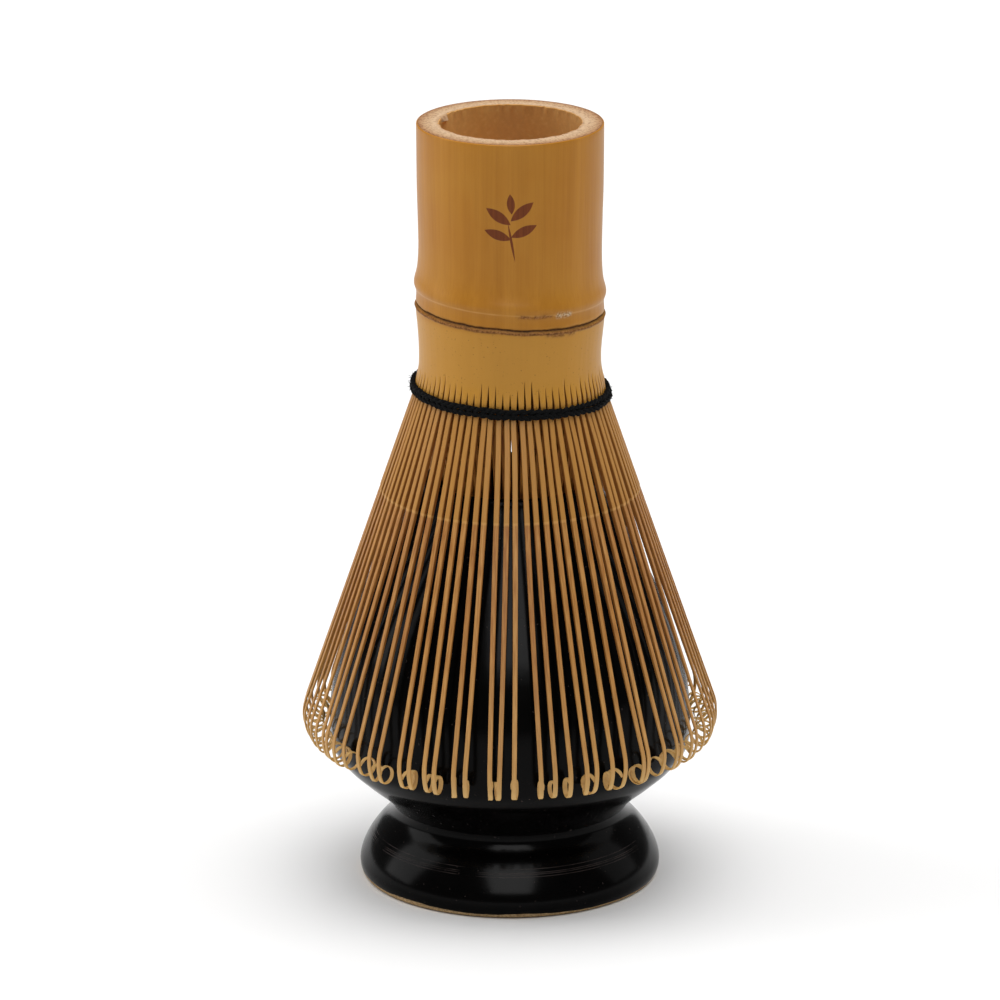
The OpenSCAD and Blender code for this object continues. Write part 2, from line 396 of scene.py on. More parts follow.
def bamboo_inner_wall():
    """Inner wall of the culm, left raw: matt brown, with a fine pale bloom, and painted light and
    shade across it, lighter at the left side and darker at the right."""
    material, tree = new_material("bamboo_inner_wall")
    place = add(tree, "ShaderNodeTexCoord", out="Object")
    bloom = add(tree, "ShaderNodeTexNoise", None,
                {"Vector": place, "Scale": 1 / (0.7 * MM), "Detail": 5.0})
    tint = add(tree, "ShaderNodeValToRGB",
               {"stops": [(0.3, "#c38b40"), (0.55, "#d09746"), (0.75, "#ddab5c")]},
               {"Fac": bloom})
    # painted light and shade from side to side: the wall is painted lighter at its left and darker
    # at its right
    across = add(tree, "ShaderNodeSeparateXYZ", None, {"Vector": place}).node.outputs["X"]
    side = add(tree, "ShaderNodeMapRange", None,
               {"Value": across, "From Min": -UPPER_BORE_R * MM, "From Max": UPPER_BORE_R * MM})
    side_light_and_shade = add(tree, "ShaderNodeValToRGB",
               {"stops": [(0.04, "#e0ae69"), (0.3, "#d09746"), (0.62, "#c28c41"),
                          (0.96, "#a87e4a")]}, {"Fac": side})
    bloom_light_and_shade = add(tree, "ShaderNodeMix", {"data_type": "RGBA"}, {0: 0.55, 6: tint, 7: side_light_and_shade}, out=2)
    relief = add(tree, "ShaderNodeBump", None,
                 {"Height": fibre_noise(tree, 0.4, 5), "Strength": 0.3, "Distance": 0.06 * MM})
    finish_material(tree, {"Base Color": bloom_light_and_shade, "Roughness": 0.8, "Normal": relief})
    return material


def shaved_bamboo(name, stops, skin_tint, thin_and_lit_tint, roughness):
    """Bamboo cut with a knife: satin, with fibres along the tine. Each tine has its own shade.
    Where the skin is left on, above the notch, it is yellower, and the knife's mark at the notch is
    pale. The thinned tip and curl are painted lighter and yellower: painted light, for the light
    that shines through them and to lift the shade low on the whisk."""
    material, tree = new_material(name)
    place = add(tree, "ShaderNodeUVMap", {"uv_map": "UVMap"})
    shade, skin, thin, pared = (
        add(tree, "ShaderNodeAttribute", {"attribute_name": fact}, out="Fac")
        for fact in ("shade", "skin", "thin", "pared"))
    own = add(tree, "ShaderNodeVectorMath", {"operation": "SCALE"},
              {0: (40, 40, 0), "Scale": shade})
    moved = add(tree, "ShaderNodeVectorMath", {"operation": "ADD"}, {0: place, 1: own})
    drawn = add(tree, "ShaderNodeMapping", None, {"Vector": moved, "Scale": (5, 0.25, 1)})
    fibres = add(tree, "ShaderNodeTexNoise", None, {"Vector": drawn, "Scale": 1.0, "Detail": 3.0})
    grain = add(tree, "ShaderNodeMath", {"operation": "MULTIPLY_ADD"},
                {0: fibres, 1: 1.1, 2: -0.15})
    tone = add(tree, "ShaderNodeMath", {"operation": "MULTIPLY_ADD"}, {0: shade, 1: 0.2, 2: grain})
    left_on = add(tree, "ShaderNodeMath", {"operation": "MULTIPLY"}, {0: skin, 1: 0.8})
    toned = add(tree, "ShaderNodeValToRGB", {"stops": stops}, {"Fac": tone})
    # the thin mask paints the tip and curl lighter: painted light shining through them
    for mask, tint in ((left_on, skin_tint), (thin, thin_and_lit_tint), (pared, "#d3a35c")):
        toned = add(tree, "ShaderNodeMix", {"data_type": "RGBA"},
                    {0: mask, 6: toned, 7: colour(tint)}, out=2)
    relief = add(tree, "ShaderNodeBump", None,
                 {"Height": fibres, "Strength": 0.3, "Distance": 0.03 * MM})
    finish_material(tree, {"Base Color": toned, "Roughness": roughness, "Specular IOR Level": 0.25,
                           "Normal": relief})
    return material


def black_cotton():
    """Dyed cotton, twisted: matt and near black, with the soft grey of loose fibres. Cotton's
    own fibres are about 0.02 mm thick, and are drawn 0.14 mm across so that they show."""
    material, tree = new_material("cotton_thread_black")
    place = add(tree, "ShaderNodeTexCoord", out="Object")
    fuzz = add(tree, "ShaderNodeTexNoise", None,
               {"Vector": place, "Scale": 1 / (0.14 * MM), "Detail": 3.0})
    tint = add(tree, "ShaderNodeValToRGB",
               {"stops": [(0.35, "#030303"), (0.7, "#0e0e0f")]}, {"Fac": fuzz})
    relief = add(tree, "ShaderNodeBump", None,
                 {"Height": fuzz, "Strength": 0.7, "Distance": 0.08 * MM})
    finish_material(tree, {"Base Color": tint, "Roughness": 0.95, "Specular IOR Level": 0.1,
                           "Sheen Weight": 0.02, "Sheen Roughness": 0.5, "Normal": relief})
    return material


def black_glaze():
    """Stoneware dipped in black gloss glaze: deep and smooth with a faint ripple, broken scuff
    lines round the foot, and bare tan clay where the glaze was wiped off the foot's edge."""
    material, tree = new_material("stoneware_black_glaze")
    place = add(tree, "ShaderNodeTexCoord", out="Object")
    parts = add(tree, "ShaderNodeSeparateXYZ", None, {"Vector": place}).node.outputs
    height = parts["Z"]
    ripple, patches, grains, wiped, grit = (
        add(tree, "ShaderNodeTexNoise", None,
            {"Vector": place, "Scale": 1 / (across * MM), "Detail": detail})
        for across, detail in ((2.2, 2.0), (4, 5.0), (0.42, 0.0), (26, 2.0), (0.35, 3.0)))
    depth, clay = (
        add(tree, "ShaderNodeValToRGB", {"stops": stops}, {"Fac": pattern})
        for pattern, stops in ((ripple, [(0.3, "#030303"), (0.7, "#060505")]),
                               (grit, [(0.3, "#8d7250"), (0.7, "#c9ab80")])))
    broken = add(tree, "ShaderNodeMapRange", None,
                 {"Value": patches, "From Min": 0.36, "From Max": 0.56, "To Max": 0.55})
    ring_mask = None
    for ring_z in (6.75, 7.1, 7.32, 7.85):
        off = add(tree, "ShaderNodeMath", {"operation": "SUBTRACT"}, {0: height, 1: ring_z * MM})
        off = add(tree, "ShaderNodeMath", {"operation": "ABSOLUTE"}, {0: off})
        ring = add(tree, "ShaderNodeMapRange", None,
                   {"Value": off, "From Min": 0.075 * MM, "From Max": 0.03 * MM})
        ring_mask = ring if ring_mask is None else add(
            tree, "ShaderNodeMath", {"operation": "MAXIMUM"}, {0: ring_mask, 1: ring})
    scuff = add(tree, "ShaderNodeMath", {"operation": "MULTIPLY"}, {0: broken, 1: ring_mask})
    pinholes = add(tree, "ShaderNodeMapRange", None,
                   {"Value": grains, "From Min": 0.81, "From Max": 0.84, "To Max": 0.5})
    scuff = add(tree, "ShaderNodeMath", {"operation": "MAXIMUM"}, {0: scuff, 1: pinholes})
    glazed = add(tree, "ShaderNodeMix", {"data_type": "RGBA"},
                 {0: scuff, 6: depth, 7: colour("#453c39")}, out=2)
    # the wiped edge wanders, and stands higher on one side
    edge = height
    for pattern, amount in ((wiped, -1.6 * MM), (ripple, -0.3 * MM), (parts["X"], 0.013)):
        edge = add(tree, "ShaderNodeMath", {"operation": "MULTIPLY_ADD"},
                   {0: pattern, 1: amount, 2: edge})
    bare = add(tree, "ShaderNodeMapRange", None,
               {"Value": edge, "From Min": -0.14 * MM, "From Max": -0.22 * MM})
    whole = add(tree, "ShaderNodeMix", {"data_type": "RGBA"}, {0: bare, 6: glazed, 7: clay}, out=2)
    gloss = add(tree, "ShaderNodeMapRange", None, {"Value": scuff, "To Min": 0.17, "To Max": 0.45})
    rough = add(tree, "ShaderNodeMix", None, {0: bare, 2: gloss, 3: 0.9})
    relief = add(tree, "ShaderNodeBump", None,
                 {"Height": ripple, "Strength": 0.2, "Distance": 0.04 * MM})
    finish_material(tree, {"Base Color": whole, "Roughness": rough, "Specular IOR Level": 0.06,
                           "Normal": relief})
    return material


def studio_paper():
    """Seamless white paper under the whisk: matt, with nothing on it."""
    material, tree = new_material("studio_paper")
    finish_material(tree, {"Base Color": colour("#e9e9e9"), "Roughness": 0.95})
    return material


SKIN = bamboo_skin()
END_GRAIN = bamboo_end_grain()
INNER_WALL = bamboo_inner_wall()
SHAVED = shaved_bamboo(
    "bamboo_shaved", [(0.3, "#96602b"), (0.5, "#aa7438"), (0.72, "#bd894a")],
    "#b07c37", "#cfa768", 0.5)
# the split sides are painted darker than the shaved faces: partly their own tone, partly painted
# shade between the tines
SPLIT_FACE = shaved_bamboo(
    "bamboo_split_face", [(0.3, "#824c18"), (0.5, "#965f23"), (0.72, "#aa7234")],
    "#925a1e", "#dcaa58", 0.6)
INNER_SHAVED = shaved_bamboo(
    "bamboo_inner_shaved", [(0.3, "#925316"), (0.5, "#a9691d"), (0.72, "#be7f30")],
    "#a9691d", "#a9691d", 0.6)
COTTON = black_cotton()
GLAZE = black_glaze()
PAPER = studio_paper()


# ---------------------------------------------------------------- culm
SKIN_CURVE = smooth_curve([(z, r) for r, z in SKIN_LINE], 6)


def culm_tilt(angle, z):
    """How much higher a level stands at this angle, because the node is not quite square."""
    return -math.cos(angle) * NODE_TILT * fade(z, 88, 95) * (1 - fade(z, 104, 112))


def skin_point(angle, z, sunk=0.0):
    """A point of the skin and its marks: scar with painted shade in its groove and in a fine line
    under its lip, pale line that is a painted highlight on the node's ridge, crust of sap and dry
    flakes, which are the red, green, blue and alpha of the marks colour."""
    right = math.degrees(angle) % 360 - 270  # degrees to the right of the front
    c, s = math.cos(angle), math.sin(angle)
    r = float(np.interp(z, SKIN_CURVE[:, 0], SKIN_CURVE[:, 1]))
    r += 0.03 * wander(c * 3, s * 3, z * 0.04) + 0.012 * wander(c * 22, s * 22, z * 0.1)
    scar_and_shade = pale = crust = flakes = 0.0
    if MARKS_LOW_Z < z < MARKS_HIGH_Z:
        off = z - SCAR_Z - 0.14 * wander(c * 4, s * 4, 3.1) - 0.07 * wander(c * 22, s * 22, 7.7)
        width = 0.22 + 0.1 * wander(c * 7, s * 7, 5.2)
        # the scar's dark is partly its own colour and partly painted shade in its groove
        scar_and_shade = hump(off, width)
        lip = hump(off + LIP_UNDER_SCAR, 0.24)
        r += 0.2 * lip - 0.3 * scar_and_shade
        # a finer dark line just under the lip: painted shade under it
        fine_line = off + LINE_UNDER_SCAR - 0.12 * wander(c * 8, s * 8, 6.6)
        scar_and_shade = max(scar_and_shade, (0.45 + 0.5 * wander(c * 13, s * 13, 2.9)) * hump(fine_line, 0.11))
        # painted highlight: a pale line along the lower slope of the node's ridge
        line = z - CREST_HIGHLIGHT_Z - 0.05 * wander(c * 5, s * 5, 9.4)
        pale = 0.6 * hump(line, 0.11) * (0.75 + 0.5 * wander(c * 9, s * 9, 1.3))
        sap = min(max(0.8 + 1.2 * wander(c * 24, s * 24, z * 1.7), 0.0), 1.0)
        seam = z - UPPER_CRUST_Z - 0.2 * wander(c * 11, s * 11, 8.1)
        upper = fade(right, 2, 7) * (1 - fade(right, 24, 28)) * hump(seam, 0.34)
        lower = fade(right, 20, 25) * (1 - fade(right, 40, 45)) * hump(z - LOWER_CRUST_Z, 0.42)
        flakes = sap * fade(right, 27, 30) * (1 - fade(right, 38, 41)) * hump(z - FLAKES_Z, 0.42)
        crust = max(0.95 * lip, sap * max(upper, lower))
        r += 0.12 * sap * max(upper, lower) + 0.15 * flakes
        pale *= 1 - max(crust, flakes)
    z += culm_tilt(angle, z)
    r -= sunk
    return (r * c, r * s, z), (min(scar_and_shade, 1.0), max(pale, 0.0), crust, flakes)


def slit_top_rows(rng):
    """The row each slit runs up to: most end a little above the thread, one in eight higher."""
    rows = []
    for _ in range(TEETH):
        top = rng.uniform(2.1, 4.3) + (1.5 if rng.random() < 0.12 else 0.0)
        top_z = THREAD_MID - THREAD_DROP + THREAD_HALF_HEIGHT + top
        rows.append(round((top_z - CULM_END) / SLIT_STEP))
    return rows


def make_culm():
    """The hollow culm: slit teeth parted into an outer and an inner ring, the closed node and
    the open upper end. Each tooth has its own columns of points; above a slit's tip the
    columns of its two teeth are one."""
    rng = random.Random(5)
    top_rows = slit_top_rows(rng)
    slit_rows = max(top_rows) + 1
    levels = [CULM_END + SLIT_STEP * j for j in range(slit_rows)]
    levels += list(np.arange(levels[-1] + 0.5, NODE_LOW_Z, 0.5))
    levels += list(np.arange(levels[-1] + NODE_ROW_STEP, NODE_HIGH_Z, NODE_ROW_STEP))
    levels += list(np.arange(levels[-1] + 0.9, HANDLE_TOP - 0.5, 1.0))
    rounding = [(HANDLE_TOP - 0.22, 0.0), (HANDLE_TOP - 0.1, 0.03), (HANDLE_TOP - 0.03, 0.09),
                (HANDLE_TOP, 0.2)]
    insets = [0.0] * len(levels) + [inset for _, inset in rounding]
    levels += [z for z, _ in rounding]
    last = len(levels) - 1
    widths = [SLIT_W * rng.uniform(0.8, 1.25) for _ in range(TEETH)]

    def half_slit(slit, row):
        """Half a slit's width: full at the teeth's ends, and nothing above its tip."""
        reach = row / top_rows[slit % TEETH]
        return widths[slit % TEETH] / 2 * (1 - reach ** 1.15) if reach < 1 else 0.0

    points, marks = [], []

    def put(place, mark=(0, 0, 0, 0)):
        """Keeps a point and gives its number."""
        points.append(place)
        marks.append(mark)
        return len(points) - 1

    skin = {}
    for row, z in enumerate(levels):
        for tooth in range(TEETH):
            start = tooth * PITCH + half_slit(tooth, row) / CULM_R
            end = (tooth + 1) * PITCH - half_slit(tooth + 1, row) / CULM_R
            for column in range(TOOTH_COLUMNS + 1):
                if column == 0 and row >= top_rows[tooth] and tooth > 0:
                    skin[tooth, column, row] = skin[tooth - 1, TOOTH_COLUMNS, row]
                elif column == TOOTH_COLUMNS and tooth == TEETH - 1 and row >= top_rows[0]:
                    skin[tooth, column, row] = skin[0, 0, row]
                else:
                    edge = column in (0, TOOTH_COLUMNS) and half_slit(tooth + (column > 0), row) > 0
                    angle = start + (end - start) * column / TOOTH_COLUMNS
                    skin[tooth, column, row] = put(
                        *skin_point(angle, z, insets[row] + (0.06 if edge else 0.0)))

    def wall_ring(radius, rows):
        """Points down both edges of each tooth at an inner radius; edge 0 is its low angle."""
        ring = {}
        for row in rows:
            for tooth in range(TEETH):
                for edge in (0, 1):
                    slit = tooth + edge
                    joined = row >= top_rows[slit % TEETH]
                    if joined and edge == 0 and tooth > 0:
                        ring[tooth, 0, row] = ring[tooth - 1, 1, row]
                    elif joined and edge == 1 and tooth == TEETH - 1:
                        ring[tooth, 1, row] = ring[0, 0, row]
                    else:
                        # a slit is narrower the deeper it is
                        half = half_slit(slit, row) * (0.45 if radius == LOWER_BORE_R else 0.7)
                        angle = slit * PITCH + (1 - 2 * edge) * half / radius
                        ring[tooth, edge, row] = put((radius * math.cos(angle),
                                                      radius * math.sin(angle), levels[row]))
        return ring

    bore = wall_ring(LOWER_BORE_R, range(slit_rows))
    part_out = wall_ring(TEETH_PART_OUT, range(PART_ROWS + 1))
    part_in = wall_ring(TEETH_PART_IN, range(PART_ROWS + 1))

    faces, slots = [], []

    def face(corners, slot):
        """Keeps a face and which material it has."""
        faces.append(corners)
        slots.append(slot)

    for tooth in range(TEETH):
        for row in range(last):
            for column in range(TOOTH_COLUMNS):
                face((skin[tooth, column, row], skin[tooth, column + 1, row],
                      skin[tooth, column + 1, row + 1], skin[tooth, column, row + 1]), 0)
        for row in range(slit_rows - 1):
            low_bore, high_bore = ((bore[tooth, 0, k], bore[tooth, 1, k]) for k in (row, row + 1))
            face((low_bore[1], low_bore[0], high_bore[0], high_bore[1]), 2)
            if row < PART_ROWS:
                for ring, back in ((part_out, True), (part_in, False)):
                    quad = (ring[tooth, 0, row], ring[tooth, 1, row],
                            ring[tooth, 1, row + 1], ring[tooth, 0, row + 1])
                    face(quad[::-1] if back else quad, 3)
            for edge, column in ((0, 0), (1, TOOTH_COLUMNS)):
                if row >= top_rows[(tooth + edge) % TEETH]:
                    continue
                outer = [skin[tooth, column, k] for k in (row, row + 1)]
                inner = [bore[tooth, edge, k] for k in (row, row + 1)]
                mid_out = [part_out[tooth, edge, k] for k in (row, row + 1) if k <= PART_ROWS]
                mid_in = [part_in[tooth, edge, k] for k in (row, row + 1) if k <= PART_ROWS]
                if row < PART_ROWS:
                    walls = [(outer[0], outer[1], mid_out[1], mid_out[0]),
                             (mid_in[0], mid_in[1], inner[1], inner[0])]
                elif row == PART_ROWS:
                    walls = [(outer[0], outer[1], inner[1], inner[0], mid_in[0], mid_out[0])]
                else:
                    walls = [(outer[0], outer[1], inner[1], inner[0])]
                for wall in walls:
                    face(wall if edge == 0 else wall[::-1], 3)
        rim = [skin[tooth, column, 0] for column in range(TOOTH_COLUMNS, -1, -1)]
        face((part_out[tooth, 0, 0], part_out[tooth, 1, 0], *rim), 1)
        face((bore[tooth, 0, 0], bore[tooth, 1, 0], part_in[tooth, 1, 0], part_in[tooth, 0, 0]), 1)
        face((part_out[tooth, 0, PART_ROWS], part_in[tooth, 0, PART_ROWS],
              part_in[tooth, 1, PART_ROWS], part_out[tooth, 1, PART_ROWS]), 3)

    low_ring = [bore[tooth, 0, slit_rows - 1] for tooth in range(TEETH)]
    roof = [put((LOWER_BORE_R * math.cos(t * PITCH), LOWER_BORE_R * math.sin(t * PITCH),
                 SEPTUM_LOW)) for t in range(TEETH)]
    for quad in band(low_ring, roof):
        face(quad[::-1], 2)
    face(roof[::-1], 2)

    ring = [skin[tooth, column, last] for tooth in range(TEETH) for column in range(TOOTH_COLUMNS)]
    count = len(ring)

    def bore_edge(angle):
        """The hand-cut mouth of the upper hollow: ragged, with a nub of pith left at the back."""
        c, s = math.cos(angle), math.sin(angle)
        nub = hump(math.degrees(angle) % 360 - NUB_AT, NUB_SPREAD)
        ragged = 0.1 * wander(c * 3, s * 3, 4.4) + 0.3 * wander(c * 16, s * 16, 2.2)
        return UPPER_BORE_R + ragged, nub

    def next_ring(depth, height, slot, old):
        """A ring across the sawn end (depth 0 to 1 from skin to hollow) or down the hollow."""
        new = []
        for k in range(count):
            angle = k * 2 * math.pi / count
            mouth, nub = bore_edge(angle)
            # the ragged cut dies out a little way down the hollow
            calm = fade(HANDLE_TOP - height, 0.2, 1.5)
            wall = UPPER_BORE_R + 0.08 * wander(k * 0.06, height * 0.1, 0)
            inner = mouth * (1 - calm) + wall * calm
            inner -= NUB_STANDS * nub * hump(HANDLE_TOP - height - NUB_UNDER, 0.4)
            r = (CULM_R - 0.2) * (1 - depth) + inner * depth
            sawn = 0.03 * wander(r * math.cos(angle) * 0.8, r * math.sin(angle) * 0.8, 6.1)
            lift = sawn * (1 - calm)
            new.append(put((r * math.cos(angle), r * math.sin(angle), height + lift)))
        for k, quad in enumerate(band(old, new)):
            pithy = abs(k * 360 / count - NUB_AT) < 8 and HANDLE_TOP - height < 0.8
            face(quad, 1 if pithy else slot)
        return new

    for depth in (0.15, 0.4, 0.65, 0.85, 0.97):
        ring = next_ring(depth, HANDLE_TOP, 1, ring)
    for drop in (0.1, 0.4, 0.7, 1.0, 1.6, 3.5, 7.0, 12.0, 18.0, HANDLE_TOP - SEPTUM_TOP):
        ring = next_ring(1.0, HANDLE_TOP - drop, 2, ring)
    floor_mid = put((0, 0, SEPTUM_TOP))
    for k in range(count):
        face((ring[k], ring[(k + 1) % count], floor_mid), 2)

    culm = mesh_object("culm", points, faces, [SKIN, END_GRAIN, INNER_WALL, SPLIT_FACE], slots, 40)
    layer = culm.data.color_attributes.new("marks", "FLOAT_COLOR", "POINT")
    layer.data.foreach_set("color", np.array(marks, float).ravel())
    return culm


culm = make_culm()
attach(culm, "handle")
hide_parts("handle")


# ---------------------------------------------------------------- tines
def station(place, turn, thick, width, skin=0.0, pared=0.0, curl=0.0, thin=0.0, free=1.0):
    """One station of a tine's side view: its place (radius, height), the turn of its outer
    face, its size, and what the material and the tree want to know of it."""
    return {"place": place, "turn": turn, "thick": thick, "width": width, "skin": skin,
            "pared": pared, "curl": curl, "thin": thin, "free": free}


def outer_tine_stations():
    """Side view of an outer tine from its root to its tip: a straight run, a bend inward and
    a curl."""
    slope = math.tan(OUTER_SPREAD)
    out = []
    notch = (NOTCH_Z + 0.3, NOTCH_Z + 0.12, NOTCH_Z - 0.12, NOTCH_Z - 0.3)
    for z in (OUTER_ROOT_Z + ROOT_INSIDE, 81.5, 78.0, 74.0, 70.5, *notch, 63.0, 57.5, 52.0,
              46.0, 40.0, 34.5):
        down = (OUTER_ROOT_Z - z) / (OUTER_ROOT_Z - BEND_Z)
        thick = float(np.interp(z, *zip(*OUTER_THICK)))
        skin = 1.0 if z > NOTCH_Z else 0.0
        out.append(station((OUTER_ROOT_R + (OUTER_ROOT_Z - z) * slope + NOTCH_STEP * skin, z),
                           OUTER_SPREAD, thick + NOTCH_STEP * skin,
                           OUTER_W + (OUTER_LOW_W - OUTER_W) * fade(down, 0.25, 0.8),
                           skin=skin, pared=0.45 if z in notch[1:3] else 0.0,
                           thin=0.3 * fade(z, 50, 30), free=fade(z, OUTER_ROOT_Z, 76)))
    start = np.array([OUTER_ROOT_R + (OUTER_ROOT_Z - BEND_Z) * slope, BEND_Z])
    middle = start - BEND_R * np.array([math.cos(OUTER_SPREAD), math.sin(OUTER_SPREAD)])
    bend_steps, curl_steps = 8, 22
    for k in range(bend_steps):
        turn = OUTER_SPREAD - (OUTER_SPREAD + BEND_LEAN) * k / bend_steps
        out.append(station(tuple(middle + BEND_R * np.array([math.cos(turn), math.sin(turn)])),
                           turn, OUTER_TIP_T, OUTER_LOW_W, thin=0.3 + 0.6 * k / bend_steps))
    middle = middle + (BEND_R - CURL_R) * np.array([math.cos(BEND_LEAN), -math.sin(BEND_LEAN)])
    for k in range(curl_steps + 1):
        turn = -BEND_LEAN - CURL_TURN * k / curl_steps
        out.append(station(tuple(middle + CURL_R * np.array([math.cos(turn), math.sin(turn)])),
                           turn, OUTER_TIP_T + (CURL_END_T - OUTER_TIP_T) * min(k / 8, 1),
                           OUTER_LOW_W - 0.3 * fade(k, curl_steps - 2, curl_steps),
                           curl=min(k / 4, 1.0), thin=1.0))
    return out


def inner_tine_stations():
    """Side view of an inner tine: a straight taper that leans towards the axis."""
    out = []
    for down in (-ROOT_INSIDE / INNER_LENGTH, 0.03, 0.06, 0.09, 0.17, 0.3, 0.45, 0.6, 0.8,
                 0.97, 1.0):
        length = down * INNER_LENGTH
        blunt = 0.15 if down == 1.0 else 0.0
        out.append(station((INNER_ROOT_R - length * math.sin(INNER_LEAN),
                            OUTER_ROOT_Z - length * math.cos(INNER_LEAN)), -INNER_LEAN,
                           INNER_ROOT_T + (INNER_TIP_T - INNER_ROOT_T) * down,
                           INNER_W + (INNER_TIP_W - INNER_W) * down - blunt,
                           free=fade(down, 0.0, 0.09)))
    return out


def single_tine(name, stations, bevel):
    """One tine at the X axis, with its outer corners pared off. Its points know how far along
    they are, and its split sides are told from its two faces."""
    points, faces, uvs, split = [], [], [], []
    facts = {"along": [], "skin": [], "pared": [], "curl": [], "thin": [], "free": []}
    rings = []
    travelled = [0.0]
    for a, b in zip(stations, stations[1:]):
        travelled.append(travelled[-1] + math.dist(a["place"], b["place"]))
    for s, here in enumerate(stations):
        r, z = here["place"]
        turn, thick, half = here["turn"], here["thick"], here["width"] / 2
        cut = min(bevel, thick * 0.4)
        section = [(-half + cut, 0), (half - cut, 0), (half, cut), (half, thick - cut * 0.6),
                   (half - cut * 0.6, thick), (-half + cut * 0.6, thick),
                   (-half, thick - cut * 0.6), (-half, cut)]
        rings.append(range(len(points), len(points) + 8))
        for across, deep in section:
            points.append((r - deep * math.cos(turn), across, z - deep * math.sin(turn)))
            facts["along"].append(travelled[s] / travelled[-1])
            for fact in ("skin", "pared", "curl", "thin", "free"):
                facts[fact].append(here[fact])
    for s in range(len(rings) - 1):
        for k, quad in enumerate(band(rings[s + 1], rings[s])):
            faces.append(quad)
            uvs += [(k * 0.5, travelled[s + 1]), (k * 0.5 + 0.5, travelled[s + 1]),
                    (k * 0.5 + 0.5, travelled[s]), (k * 0.5, travelled[s])]
            split.append(k in (2, 6))
    for end in (tuple(rings[0]), tuple(rings[-1])[::-1]):
        faces.append(end)
        uvs += [(0.0, 0.0)] * 8
        split.append(True)
    tine = mesh_object(name, points, faces, [SHAVED], None, 35)
    layer = tine.data.uv_layers.new(name="UVMap")
    layer.data.foreach_set("uv", np.array(uvs).ravel())
    for fact, values in facts.items():
        tine.data.attributes.new(fact, "FLOAT", "POINT").data.foreach_set("value", values)
    tine.data.attributes.new("split", "BOOLEAN", "FACE").data.foreach_set("value", split)
    return tine


def tree_inputs(tree, wanted):
    """Gives a geometry tree its named inputs and its one output."""
    tree.interface.new_socket(name="Geometry", in_out="OUTPUT", socket_type="NodeSocketGeometry")
    keys = {}
    for name, kind in wanted:
        keys[name] = tree.interface.new_socket(
            name=name, in_out="INPUT", socket_type="NodeSocket" + kind).identifier
    return keys


